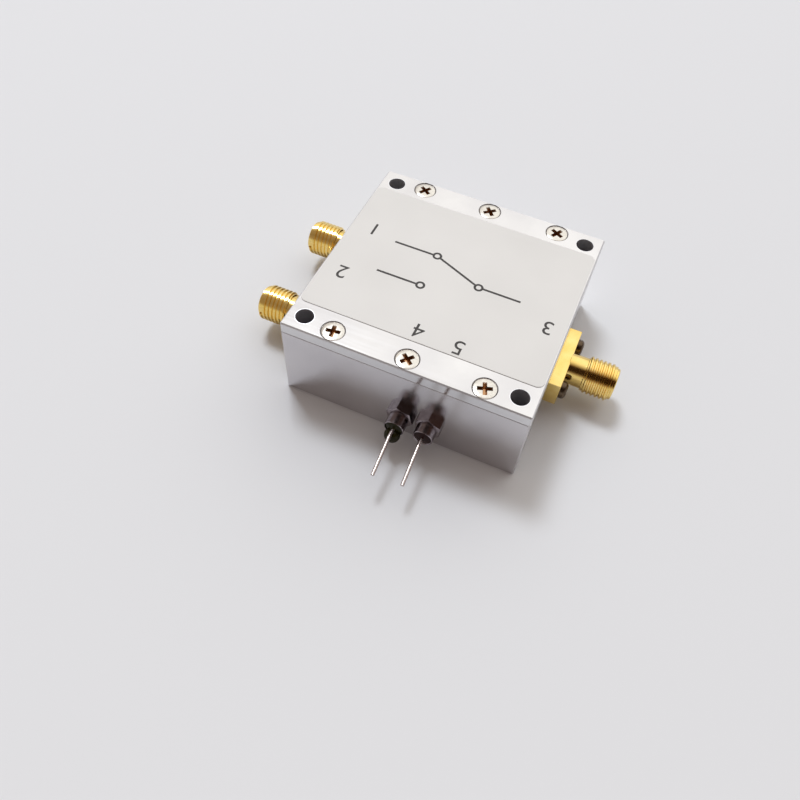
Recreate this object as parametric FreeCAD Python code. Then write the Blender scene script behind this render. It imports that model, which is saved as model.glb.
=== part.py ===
import FreeCAD, Part
import math
import os

# A solid-state coaxial antenna switch in a milled aluminium case. Lengths are in millimetres.
# The origin is the middle of the case's underside. +X points out of the common connector, -Y points out of
# the wall that the two wires leave, and +Z points out of the lid.

# Case: a milled block with a pocket, and a flat lid
case_width = 40.0
case_depth = 40.0
housing_height = 14.0
lid_thickness = 2.0
edge_break = 0.2
seam_break = 0.1
floor_thickness = 4.0
connector_wall = 4.5
screw_wall = 5.0
pocket_corner_radius = 3.0

# Holes right through the case for the customer's own screws
mounting_hole_radius = 1.45
mounting_hole_inset = 2.8

# Countersunk screws that hold the lid, three along the front and three along the back
lid_screw_radius = 1.0
lid_screw_length = 6.0
lid_screw_head_radius = 1.9
lid_screw_head_rim = 0.15
lid_screw_inset = 2.1
lid_screw_spacing = 12.1
lid_screw_head_drop = 0.05
screw_end_gap = 0.5
hole_clearance = 0.1

# Sticker on the lid
label_thickness = 0.1
label_side_margin = 0.3
label_front_margin = 5.5
label_back_margin = 4.9
label_corner_radius = 1.2

# Circuit board on the pocket's floor, with its plated lines
board_thickness = 0.8
board_clearance = 0.3
line_thickness = 0.05
line_width = 1.5
thin_line_width = 0.5
line_end_margin = 0.4

# Screws that hold the board to the floor
board_screw_radius = 1.0
board_screw_head_radius = 1.7
board_screw_head_height = 1.2
board_screw_length = 3.0
board_screw_inset = 2.9

# Coaxial connectors: a flange, a plain neck, a threaded barrel and a plain rim round the mouth
flange_length = 12.7
flange_height = 4.8
flange_thickness = 2.0
neck_radius = 2.6
neck_length = 2.8
barrel_radius = 3.175
barrel_length = 4.6
rim_radius = 2.65
rim_length = 0.48
rim_chamfer = 0.12
mouth_radius = 2.3
mouth_depth = 1.9
insulator_radius = 2.05
insulator_clearance = 0.03
port_inset = 11.0

# Centre contacts: a slotted socket in the mouth and a pin over the board
contact_radius = 0.635
contact_bore_radius = 0.47
contact_bore_depth = 2.0
contact_slot_width = 0.2
pin_radius = 0.45
pin_reach = 2.4

# Small pan-head screws that hold the flanges
flange_screw_radius = 0.8
flange_screw_spacing = 9.6
flange_screw_head_radius = 1.45
flange_screw_head_height = 1.1
flange_screw_length = 5.2

# Feedthroughs in the front wall: a bushing with a hexagon, a ceramic tube, a filler and a wire
feedthrough_centre = 3.05
feedthrough_spacing = 4.7
hexagon_across_flats = 4.0
hexagon_length = 1.3
hexagon_turns = (15, 0)
collar_radius = 1.65
collar_lengths = (2.1, 1.8)
collar_bore_radius = 1.4
collar_bore_depth = 1.3
shank_radius = 1.5
shank_length = 4.2
tube_radius = 1.0
filler_recess = 0.15
filler_bulge = 0.35
drop_radius = 1.3
drop_sag = 1.3
drop_reach = 0.3
inner_filler_length = 0.6
wire_radius = 0.3
wire_inner_reach = 2.6
wire_straight_length = 1.4
wire_bend_radius = 3.0
wire_outer_length = 6.6
wire_droop_degrees = 6.4
wire_drift_degrees = 2.9

# Chips on the board
switch_chip_side = 4.0
switch_chip_height = 0.9
switch_chip_x = -2.0
logic_chip_length = 2.9
logic_chip_width = 1.6
logic_chip_height = 0.9
logic_chip_standoff = 0.1
logic_chip_y = -7.2
leg_pitch = 0.95
leg_width = 0.4
leg_thickness = 0.15
leg_foot = 0.35
leg_reach = 0.65
small_chip_length = 1.6
small_chip_width = 0.8
capacitor_height = 0.8
resistor_height = 0.45
terminal_length = 0.35
common_capacitor_x = 5.0
port_capacitor_x = -8.0
bypass_capacitor_offset = 2.2
bias_resistor_y = -3.9
bias_resistor_pitch = 1.6

# Solder mounds where the pins and wires meet the board
solder_radius = 0.85
solder_length = 2.0

# Levels and places that follow from the sizes above
X = FreeCAD.Vector(1, 0, 0)
Y = FreeCAD.Vector(0, 1, 0)
Z = FreeCAD.Vector(0, 0, 1)
half_width = case_width / 2
half_depth = case_depth / 2
case_height = housing_height + lid_thickness
pocket_half_width = half_width - connector_wall
pocket_half_depth = half_depth - screw_wall
board_top = floor_thickness + board_thickness
line_top = board_top + line_thickness
axis_height = line_top + pin_radius
flange_face = half_width + flange_thickness
barrel_start = flange_face + neck_length
rim_start = barrel_start + barrel_length
mouth_face = rim_start + rim_length
contact_face = mouth_face - mouth_depth
lid_screw_head_height = lid_screw_head_rim + lid_screw_head_radius - lid_screw_radius
feedthrough_xs = (feedthrough_centre - feedthrough_spacing / 2, feedthrough_centre + feedthrough_spacing / 2)
collar_faces = tuple(-half_depth - hexagon_length - length for length in collar_lengths)
port_y = half_depth - port_inset


def point(x, y, z):
    return FreeCAD.Vector(x, y, z)


def cylinder(radius, start, end):
    """A round rod between two points."""
    along = end - start
    return Part.makeCylinder(radius, along.Length, start, along)


def block(low, high):
    """A box between its lowest and its highest corner."""
    size = high - low
    return Part.makeBox(size.x, size.y, size.z, low)


def joined(solids):
    """One solid made of several that touch."""
    first, rest = solids[0], solids[1:]
    return first.fuse(rest).removeSplitter() if rest else first


def rounded_plate(half_x, half_y, radius, bottom, top, centre_y=0.0):
    """A flat plate with round upright corners."""
    plate = block(point(-half_x, centre_y - half_y, bottom), point(half_x, centre_y + half_y, top))
    upright = [edge for edge in plate.Edges if abs(edge.tangentAt(edge.FirstParameter).z) > 0.9]
    return plate.makeFillet(radius, upright)


def revolved(outline):
    """A turned solid about the X axis from (distance along X, radius) points."""
    wire = Part.makePolygon([point(x, r, 0) for x, r in outline + outline[:1]])
    return Part.Face(wire).revolve(point(0, 0, 0), X, 360)


def broken_edges(solid, chosen, size=edge_break):
    return solid.makeChamfer(size, [edge for edge in solid.Edges if chosen(edge)])


def is_upright(edge):
    return abs(edge.tangentAt(edge.FirstParameter).z) > 0.9


def lies_at(height):
    return lambda edge: max(abs(vertex.Z - height) for vertex in edge.Vertexes) < 1e-6


# Places of the screws and holes
def mounting_holes():
    x = half_width - mounting_hole_inset
    y = half_depth - mounting_hole_inset
    return [(sx * x, sy * y) for sx in (-1, 1) for sy in (-1, 1)]


def lid_screw_places():
    y = half_depth - lid_screw_inset
    return [(step * lid_screw_spacing, side * y) for side in (-1, 1) for step in (-1, 0, 1)]


def board_screw_places():
    x = pocket_half_width - board_clearance - board_screw_inset
    y = pocket_half_depth - board_clearance - board_screw_inset
    return [(sx * x, sy * y) for sx in (-1, 1) for sy in (-1, 1)]


# A connector and what goes with it are built on the +X wall at y = 0, then turned and shifted to their place
def placed(solid, side, y):
    solid = solid.copy()
    if side < 0:
        solid.rotate(point(0, 0, 0), Z, 180)
    solid.translate(point(0, y, axis_height))
    return solid


connector_places = {"common": (1, 0.0), "port_1": (-1, port_y), "port_2": (-1, -port_y)}


def connector_wall_holes():
    """The insulator's hole and the two screw holes, as solids to take away from the wall."""
    reach = flange_screw_length - flange_thickness + screw_end_gap
    cuts = [cylinder(insulator_radius, point(pocket_half_width, 0, 0), point(half_width, 0, 0))]
    for y in (-flange_screw_spacing / 2, flange_screw_spacing / 2):
        cuts.append(cylinder(flange_screw_radius, point(half_width - reach, y, 0), point(half_width, y, 0)))
    return cuts


def housing():
    solid = block(point(-half_width, -half_depth, 0), point(half_width, half_depth, housing_height))
    at_bottom = lies_at(0)
    solid = broken_edges(solid, lambda edge: is_upright(edge) or at_bottom(edge))
    solid = broken_edges(solid, lies_at(housing_height), seam_break)
    cuts = [rounded_plate(pocket_half_width, pocket_half_depth, pocket_corner_radius,
                          floor_thickness, housing_height)]
    for x, y in mounting_holes():
        cuts.append(cylinder(mounting_hole_radius, point(x, y, 0), point(x, y, housing_height)))
    screw_bottom = case_height - lid_screw_head_drop - lid_screw_length - screw_end_gap
    for x, y in lid_screw_places():
        cuts.append(cylinder(lid_screw_radius, point(x, y, screw_bottom), point(x, y, housing_height)))
    board_screw_bottom = board_top - board_screw_length - screw_end_gap
    for x, y in board_screw_places():
        cuts.append(cylinder(board_screw_radius, point(x, y, board_screw_bottom), point(x, y, floor_thickness)))
    for side, y in connector_places.values():
        cuts += [placed(cut, side, y) for cut in connector_wall_holes()]
    for x in feedthrough_xs:
        cuts.append(cylinder(shank_radius, point(x, -half_depth, axis_height),
                             point(x, -pocket_half_depth, axis_height)))
    return solid.cut(cuts)


def lid():
    solid = block(point(-half_width, -half_depth, housing_height), point(half_width, half_depth, case_height))
    at_top = lies_at(case_height)
    solid = broken_edges(solid, lambda edge: is_upright(edge) or at_top(edge))
    solid = broken_edges(solid, lies_at(housing_height), seam_break)
    cuts = []
    for x, y in mounting_holes():
        cuts.append(cylinder(mounting_hole_radius, point(x, y, housing_height), point(x, y, case_height)))
    for x, y in lid_screw_places():
        cuts.append(countersunk_head(x, y, case_height, hole_clearance / 2))
        cuts.append(cylinder(lid_screw_radius + hole_clearance, point(x, y, housing_height),
                             point(x, y, case_height)))
    return solid.cut(cuts)


def countersunk_head(x, y, top, clearance=0.0):
    """A flat head: a thin straight rim over a cone of 90 degrees."""
    wide = lid_screw_head_radius + clearance
    cone_top = top - lid_screw_head_rim
    cone_height = lid_screw_head_height - lid_screw_head_rim
    rim = cylinder(wide, point(x, y, cone_top), point(x, y, top))
    cone = Part.makeCone(lid_screw_radius + clearance, wide, cone_height, point(x, y, cone_top - cone_height), Z)
    return joined([rim, cone])


def lid_screws():
    top = case_height - lid_screw_head_drop
    screws = []
    for x, y in lid_screw_places():
        shank = cylinder(lid_screw_radius, point(x, y, top - lid_screw_length),
                         point(x, y, top - lid_screw_head_height))
        screws.append(joined([countersunk_head(x, y, top), shank]))
    return screws


def label():
    front = -half_depth + label_front_margin
    back = half_depth - label_back_margin
    return rounded_plate(half_width - label_side_margin, (back - front) / 2, label_corner_radius,
                         case_height, case_height + label_thickness, (front + back) / 2)


def connector():
    """Flange and barrel in one turned and milled piece, bored for the insulator and the mating plug."""
    flange = block(point(half_width, -flange_length / 2, -flange_height / 2),
                   point(flange_face, flange_length / 2, flange_height / 2))
    barrel = revolved([(flange_face, 0), (flange_face, neck_radius), (barrel_start, neck_radius),
                       (barrel_start, barrel_radius), (rim_start, barrel_radius), (rim_start, rim_radius),
                       (mouth_face - rim_chamfer, rim_radius), (mouth_face, rim_radius - rim_chamfer),
                       (mouth_face, 0)])
    cuts = [cylinder(insulator_radius, point(half_width, 0, 0), point(mouth_face, 0, 0)),
            cylinder(mouth_radius, point(contact_face, 0, 0), point(mouth_face, 0, 0))]
    for y in (-flange_screw_spacing / 2, flange_screw_spacing / 2):
        cuts.append(cylinder(flange_screw_radius + hole_clearance, point(half_width, y, 0),
                             point(flange_face, y, 0)))
    return joined([flange, barrel]).cut(cuts)


def insulator():
    rod = cylinder(insulator_radius - insulator_clearance, point(pocket_half_width, 0, 0),
                   point(contact_face, 0, 0))
    return rod.cut(contact_blank())


def contact_blank():
    """The contact before its bore and slots, which is also the hole it fills in the insulator."""
    pin = cylinder(pin_radius, point(pocket_half_width - pin_reach, 0, 0), point(half_width, 0, 0))
    socket = cylinder(contact_radius, point(half_width, 0, 0), point(contact_face, 0, 0))
    return joined([pin, socket])


def contact():
    start = contact_face - contact_bore_depth
    cuts = [cylinder(contact_bore_radius, point(start, 0, 0), point(contact_face, 0, 0))]
    for half_y, half_z in ((contact_radius, contact_slot_width / 2), (contact_slot_width / 2, contact_radius)):
        cuts.append(block(point(start, -half_y, -half_z), point(contact_face, half_y, half_z)))
    return contact_blank().cut(cuts)


def pan_head_screw(radius, length, head_radius, head_height):
    """A screw along +X whose head sits on x = 0, with the head's top edge turned off at an angle."""
    slope = head_height / 3
    return revolved([(-length, 0), (-length, radius), (0, radius), (0, head_radius), (head_height - slope, head_radius),
                     (head_height, head_radius - slope), (head_height, 0)])


def flange_screws():
    screws = []
    for y in (-flange_screw_spacing / 2, flange_screw_spacing / 2):
        screw = pan_head_screw(flange_screw_radius, flange_screw_length, flange_screw_head_radius,
                               flange_screw_head_height)
        screw.translate(point(flange_face, y, 0))
        screws.append(screw)
    return screws


# Feedthroughs, drawn along -Y at the height of the connectors
def on_wire_axis(x, y):
    return point(x, y, axis_height)


def hexagon_prism(x, turn, near, far):
    """A hexagon along -Y with a pair of flats upright, turned by some degrees as it was screwed in."""
    corner_radius = hexagon_across_flats / 2 / math.cos(math.pi / 6)
    corners = []
    for step in range(7):
        angle = math.radians(30 + 60 * step + turn)
        corners.append(point(x + corner_radius * math.cos(angle), near,
                             axis_height + corner_radius * math.sin(angle)))
    return Part.Face(Part.makePolygon(corners)).extrude(point(0, far - near, 0))


def feedthrough_bushing(x, collar_face, turn):
    hexagon_face = -half_depth - hexagon_length
    prism = hexagon_prism(x, turn, -half_depth, hexagon_face)
    # A shallow cone turns the outer corners of the hexagon down, as on a turned nut
    corner_radius = hexagon_across_flats / 2 / math.cos(math.pi / 6)
    flat_radius = hexagon_across_flats / 2 - edge_break / 2
    chamfer = (corner_radius - flat_radius) / 2
    turned = cylinder(corner_radius, on_wire_axis(x, -half_depth), on_wire_axis(x, hexagon_face + chamfer))
    cone = Part.makeCone(corner_radius, flat_radius, chamfer, on_wire_axis(x, hexagon_face + chamfer), -Y)
    prism = prism.common(joined([turned, cone]))
    collar = cylinder(collar_radius, on_wire_axis(x, hexagon_face), on_wire_axis(x, collar_face))
    shank = cylinder(shank_radius, on_wire_axis(x, -half_depth), on_wire_axis(x, -half_depth + shank_length))
    bore = cylinder(tube_radius, on_wire_axis(x, collar_face), on_wire_axis(x, -half_depth + shank_length))
    mouth = cylinder(collar_bore_radius, on_wire_axis(x, collar_face), on_wire_axis(x, collar_face + collar_bore_depth))
    return joined([prism, collar, shank]).cut([bore, mouth])


def capacitor_tube(x, collar_face):
    front = collar_face + collar_bore_depth
    back = -half_depth + shank_length - inner_filler_length
    tube = cylinder(tube_radius, on_wire_axis(x, front), on_wire_axis(x, back))
    return tube.cut(cylinder(wire_radius, on_wire_axis(x, front), on_wire_axis(x, back)))


def fillers(x, collar_face, has_drop):
    """The resin in the bushing's mouth, which swells out a little, and the resin at the inner end."""
    back = collar_face + collar_bore_depth
    front = collar_face + filler_recess
    plug = cylinder(collar_bore_radius, on_wire_axis(x, back), on_wire_axis(x, front))
    bead_radius = (collar_bore_radius ** 2 + filler_bulge ** 2) / (2 * filler_bulge)
    ball = Part.makeSphere(bead_radius, on_wire_axis(x, front + bead_radius - filler_bulge))
    bead = ball.common(cylinder(collar_bore_radius, on_wire_axis(x, front), on_wire_axis(x, front - filler_bulge)))
    outer = [plug, bead, drop(x, collar_face)] if has_drop else [plug, bead]
    inner_end = -half_depth + shank_length
    inner = cylinder(tube_radius, on_wire_axis(x, inner_end - inner_filler_length), on_wire_axis(x, inner_end))
    return [joined(outer).cut(wire(x, collar_face)), inner.cut(wire(x, collar_face))]


def drop(x, collar_face):
    """A drop of resin that ran over the mouth's lower lip before it set."""
    ball = Part.makeSphere(drop_radius, on_wire_axis(x, collar_face - drop_reach) - Z * drop_sag)
    back = collar_face + collar_bore_depth
    bore = cylinder(collar_bore_radius, on_wire_axis(x, back), on_wire_axis(x, collar_face))
    reach = 2 * drop_radius
    outside = block(point(x - reach, collar_face - reach, axis_height - 2 * reach),
                    point(x + reach, collar_face, axis_height + reach))
    return ball.common(joined([bore, outside]))


def wire(x, collar_face):
    """A straight wire from the board to just outside the bushing, then a slight bend down and to +X."""
    start = on_wire_axis(x, -pocket_half_depth + wire_inner_reach)
    bend_start = on_wire_axis(x, collar_face - wire_straight_length)
    drift = math.radians(wire_drift_degrees)
    droop = math.radians(wire_droop_degrees)
    aim = point(math.sin(drift), -math.cos(drift) * math.cos(droop), -math.sin(droop)).normalize()
    turn = math.acos(-aim.y)
    side = point(aim.x, 0, aim.z).normalize()

    def on_bend(angle):
        return bend_start - Y * (wire_bend_radius * math.sin(angle)) + side * (
            wire_bend_radius * (1 - math.cos(angle)))

    bend_end = on_bend(turn)
    path = Part.Wire([Part.LineSegment(start, bend_start).toShape(),
                      Part.Arc(bend_start, on_bend(turn / 2), bend_end).toShape(),
                      Part.LineSegment(bend_end, bend_end + aim * wire_outer_length).toShape()])
    section = Part.Wire(Part.makeCircle(wire_radius, start, Y))
    return path.makePipeShell([section], True, False)


# Circuit board and what is soldered to it
def circuit_board():
    plate = rounded_plate(pocket_half_width - board_clearance, pocket_half_depth - board_clearance,
                          pocket_corner_radius - board_clearance, floor_thickness, board_top)
    holes = [cylinder(board_screw_radius + hole_clearance, point(x, y, floor_thickness), point(x, y, board_top))
             for x, y in board_screw_places()]
    return plate.cut(holes)


def board_screws():
    screws = []
    for x, y in board_screw_places():
        screw = pan_head_screw(board_screw_radius, board_screw_length, board_screw_head_radius,
                               board_screw_head_height)
        screw.rotate(point(0, 0, 0), Y, -90)
        screw.translate(point(x, y, board_top))
        screws.append(screw)
    return screws


def line_run(start, end, width):
    """A flat straight line of plating from one (x, y) to another along X or Y, with square ends."""
    half = width / 2
    low = point(min(start[0], end[0]) - half, min(start[1], end[1]) - half, board_top)
    high = point(max(start[0], end[0]) + half, max(start[1], end[1]) + half, line_top)
    return block(low, high)


def line_end():
    return pocket_half_width - board_clearance - line_end_margin - line_width / 2


def signal_lines():
    chip_edge = switch_chip_side / 2 + line_width / 2
    common = line_run((switch_chip_x + chip_edge, 0), (line_end(), 0), line_width)
    lines = [common.cut(capacitor_gap(common_capacitor_x, 0))]
    for y in (port_y, -port_y):
        side = math.copysign(1, y)
        along = line_run((-line_end(), y), (switch_chip_x, y), line_width)
        across = line_run((switch_chip_x, y), (switch_chip_x, side * chip_edge), line_width)
        lines.append(joined([along, across]).cut(capacitor_gap(port_capacitor_x, y)))
    return [solid for line in lines for solid in line.Solids]


def capacitor_gap(x, y):
    half_gap = small_chip_length / 2 - terminal_length
    return block(point(x - half_gap, y - line_width, board_top), point(x + half_gap, y + line_width, line_top))


def supply_lines():
    """A thin line from each wire's pad to the logic chip's row of legs."""
    pad_y = -pocket_half_depth + wire_inner_reach
    legs_y = logic_chip_y - logic_chip_width / 2 - leg_reach - thin_line_width / 2
    return [line_run((x, pad_y), (x, legs_y), thin_line_width) for x in feedthrough_xs]


def switch_chip():
    half = switch_chip_side / 2
    return block(point(switch_chip_x - half, -half, board_top), point(switch_chip_x + half, half,
                                                                      board_top + switch_chip_height))


def logic_chip():
    half_x, half_y = logic_chip_length / 2, logic_chip_width / 2
    bottom = board_top + logic_chip_standoff
    return block(point(feedthrough_centre - half_x, logic_chip_y - half_y, bottom),
                 point(feedthrough_centre + half_x, logic_chip_y + half_y, bottom + logic_chip_height))


def logic_chip_legs():
    """Bent legs: three on the side of the wires and two on the other."""
    middle = board_top + logic_chip_standoff + logic_chip_height / 2
    legs = []
    for side, steps in ((-1, (-1, 0, 1)), (1, (-1, 1))):
        edge = logic_chip_y + side * logic_chip_width / 2
        for step in steps:
            x = feedthrough_centre + step * leg_pitch
            outline = [(0, middle), (leg_reach - leg_foot, middle), (leg_reach - leg_foot, board_top + leg_thickness),
                       (leg_reach, board_top + leg_thickness), (leg_reach, board_top),
                       (leg_reach - leg_foot - leg_thickness, board_top),
                       (leg_reach - leg_foot - leg_thickness, middle - leg_thickness), (0, middle - leg_thickness)]
            corners = [point(x - leg_width / 2, edge + side * y, z) for y, z in outline + outline[:1]]
            legs.append(Part.Face(Part.makePolygon(corners)).extrude(point(leg_width, 0, 0)))
    return legs


def small_chip(x, y, bottom, height):
    """The middle of a two-ended chip and its two metal ends, which are a little thicker."""
    plating = terminal_length / 10
    half_x, half_y = small_chip_length / 2, small_chip_width / 2
    inner = half_x - terminal_length
    middle = block(point(x - inner, y - half_y + plating, bottom + plating),
                   point(x + inner, y + half_y - plating, bottom + height - plating))
    ends = [block(point(x - half_x, y - half_y, bottom), point(x - inner, y + half_y, bottom + height)),
            block(point(x + inner, y - half_y, bottom), point(x + half_x, y + half_y, bottom + height))]
    return middle, ends


def small_chips():
    """Middles by kind, and the metal ends of all of them."""
    places = {"coupling_capacitors": [(common_capacitor_x, 0), (port_capacitor_x, port_y), (port_capacitor_x, -port_y)],
              "bypass_capacitors": [(x + side * bypass_capacitor_offset, -pocket_half_depth + wire_inner_reach)
                                    for x, side in zip(feedthrough_xs, (-1, 1))],
              "bias_resistors": [(feedthrough_centre, bias_resistor_y + step * bias_resistor_pitch)
                                 for step in (0, 1)]}
    levels = {"coupling_capacitors": (line_top, capacitor_height), "bypass_capacitors": (board_top, capacitor_height),
              "bias_resistors": (board_top, resistor_height)}
    middles, ends = {}, []
    for kind, spots in places.items():
        bottom, height = levels[kind]
        middles[kind] = []
        for x, y in spots:
            middle, pair = small_chip(x, y, bottom, height)
            middles[kind].append(middle)
            ends += pair
    return middles, ends


def solder_joints(contacts, wires):
    """Half-round mounds on the board, with the pin or wire that lies in them taken away."""
    mounds = []
    above = block(point(-half_width, -half_depth, line_top), point(half_width, half_depth, case_height))
    for side, y in connector_places.values():
        end = pocket_half_width - pin_reach
        mound = cylinder(solder_radius, point(side * end, y, board_top), point(side * (end + solder_length), y, board_top))
        mounds.append(mound.common(above).cut(contacts))
    for x in feedthrough_xs:
        end = -pocket_half_depth + wire_inner_reach
        mound = cylinder(solder_radius, point(x, end, board_top), point(x, end - solder_length, board_top))
        mounds.append(mound.common(above).cut(wires))
    return mounds


def all_pieces():
    pieces = {"housing": [housing()], "lid": [lid()], "label": [label()], "lid_screws": lid_screws()}
    contacts, wires = [], []
    for name, (side, y) in connector_places.items():
        pieces[name + "_connector"] = [placed(connector(), side, y)]
        pieces[name + "_insulator"] = [placed(insulator(), side, y)]
        pieces[name + "_contact"] = [placed(contact(), side, y)]
        pieces[name + "_flange_screws"] = [placed(screw, side, y) for screw in flange_screws()]
        contacts += pieces[name + "_contact"]
    for name, x, face, turn in zip(("supply", "control"), feedthrough_xs, collar_faces, hexagon_turns):
        pieces[name + "_bushing"] = [feedthrough_bushing(x, face, turn)]
        pieces[name + "_capacitor_tube"] = [capacitor_tube(x, face)]
        pieces[name + "_filler"] = fillers(x, face, name == "supply")
        pieces[name + "_wire"] = [wire(x, face)]
        wires += pieces[name + "_wire"]
    pieces["circuit_board"] = [circuit_board()]
    pieces["board_screws"] = board_screws()
    pieces["signal_lines"] = signal_lines()
    pieces["supply_lines"] = supply_lines()
    pieces["switch_chip"] = [switch_chip()]
    pieces["logic_chip"] = [logic_chip()]
    pieces["logic_chip_legs"] = logic_chip_legs()
    middles, ends = small_chips()
    pieces.update(middles)
    pieces["chip_ends"] = ends
    pieces["solder_joints"] = solder_joints(contacts, wires)
    return pieces


os.makedirs("parts", exist_ok=True)
for node, solids in all_pieces().items():
    shape = solids[0] if len(solids) == 1 else Part.makeCompound(solids)
    shape.exportStep("parts/" + node + ".step")
    print(node, len(solids), round(sum(solid.Volume for solid in solids), 3))
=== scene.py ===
import bpy
import math
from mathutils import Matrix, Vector


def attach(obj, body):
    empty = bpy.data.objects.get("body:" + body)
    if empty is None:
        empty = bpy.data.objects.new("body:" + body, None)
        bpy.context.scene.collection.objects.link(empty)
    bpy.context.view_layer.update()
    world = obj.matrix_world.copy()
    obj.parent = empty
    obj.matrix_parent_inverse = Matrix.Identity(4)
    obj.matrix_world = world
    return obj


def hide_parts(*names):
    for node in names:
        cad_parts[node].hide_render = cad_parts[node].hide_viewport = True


# A coaxial antenna switch: a milled aluminium case with three gold connectors and two feedthrough wires.
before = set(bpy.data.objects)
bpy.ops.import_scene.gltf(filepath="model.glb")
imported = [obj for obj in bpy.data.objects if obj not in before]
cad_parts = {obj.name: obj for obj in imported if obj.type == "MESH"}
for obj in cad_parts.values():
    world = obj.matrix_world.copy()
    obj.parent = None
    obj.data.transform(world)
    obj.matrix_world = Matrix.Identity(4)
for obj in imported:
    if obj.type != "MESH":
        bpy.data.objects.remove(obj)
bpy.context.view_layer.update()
MM = 0.001

# Camera
# It stands where the photograph was taken from, high in front of the case and a little to its right. The
# photograph is squeezed to three quarters of its width, so the lens is halfway between its two scales.
camera_place = Vector((21.5, -79.0, 98.8)) * MM
camera_target = Vector((0.1, -19.8, 8.0)) * MM
camera_roll = math.radians(4.8)
camera_lens = 32.4
sensor_width = 36.0
nearest_seen = 5.0
bpy.ops.object.camera_add(location=camera_place)
camera = bpy.context.object
camera.rotation_mode = "QUATERNION"
camera.rotation_quaternion = (camera_target - camera_place).to_track_quat("-Z", "Y")
camera.rotation_mode = "XYZ"
camera.rotation_euler.rotate_axis("Z", camera_roll)
camera.data.lens = camera_lens
camera.data.sensor_width = sensor_width
camera.data.clip_start = nearest_seen * MM
bpy.context.scene.camera = camera
bpy.context.scene.view_settings.view_transform = "Standard"


# Case
# The housing is a block of aluminium milled all over, with a pocket for the board, and the lid is a flat
# plate of the same metal. Six screws hold the lid, and the holes near the corners go right through both.
def linear(code):
    """The linear colour of an sRGB hex value."""
    parts = [int(code[place:place + 2], 16) / 255 for place in (1, 3, 5)]
    return [part / 12.92 if part <= 0.04045 else ((part + 0.055) / 1.055) ** 2.4 for part in parts] + [1.0]


def in_use(sockets, name):
    """The socket of this name that is switched on, because a node may hold several of one name."""
    return next(found for found in sockets if found.name == name and found.enabled)


def link_inputs(tree, node, links):
    """A node's inputs, by socket name, linked to (node, output) pairs."""
    for name, (source, output) in links.items():
        tree.links.new(in_use(source.outputs, output), in_use(node.inputs, name))


def add_node(tree, kind, settings, links):
    """A node with its settings, by property or socket name, and with its inputs linked."""
    made = tree.nodes.new(kind)
    for name, value in settings.items():
        if name in made.inputs:
            in_use(made.inputs, name).default_value = value
        else:
            setattr(made, name, value)
    link_inputs(tree, made, links)
    return made


def start_material(name, colour, metallic, roughness):
    """A material whose shader has these plain values, with its node tree and its shader."""
    material = bpy.data.materials.new(name)
    material.use_nodes = True
    tree = material.node_tree
    shader = tree.nodes["Principled BSDF"]
    shader.inputs["Base Color"].default_value = linear(colour)
    shader.inputs["Metallic"].default_value = metallic
    shader.inputs["Roughness"].default_value = roughness
    return material, tree, shader


def two_toned(tree, noise, span, colours):
    """A colour that goes from the first to the second as the noise rises through its span."""
    share = add_node(tree, "ShaderNodeMapRange", span, {"Value": (noise, "Fac")})
    return add_node(tree, "ShaderNodeMix",
                    {"data_type": "RGBA", "A": linear(colours[0]), "B": linear(colours[1])},
                    {"Factor": (share, "Result")})


def dress(node, material):
    """A CAD node keeps its shape and gets this material."""
    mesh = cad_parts[node].data
    mesh.materials.clear()
    mesh.materials.append(material)


# Aluminium, milled and then lightly blasted: straight marks of the cutter, 0.05 mm apart on the real case
# and drawn at 0.25 mm so that they show, blur its mirror a little, and handling leaves faint cloudy
# patches. The edges are broken by hand and the holes near the corners drilled, so these are duller.
tool_mark = 0.25
tool_mark_run = 15.0
tool_mark_depth = 0.003
handling_cloud = 9.0
handling_span = {"From Min": 0.35, "From Max": 0.65}
# Most of a noise lies between these values
noise_span = {"From Min": 0.3, "From Max": 0.7}
flat_slope_sum = 1.1
broken_slope_sum = 1.3
broken_edge_roughness = 0.5
mounting_hole_centre = 17.2
mounting_hole_radius = 1.45
# Outside a hole's radius the drilled look is full up to the first distance and gone at the second
drilled_full = 0.02
drilled_gone = 0.1
drilled_roughness = 0.55


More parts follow.
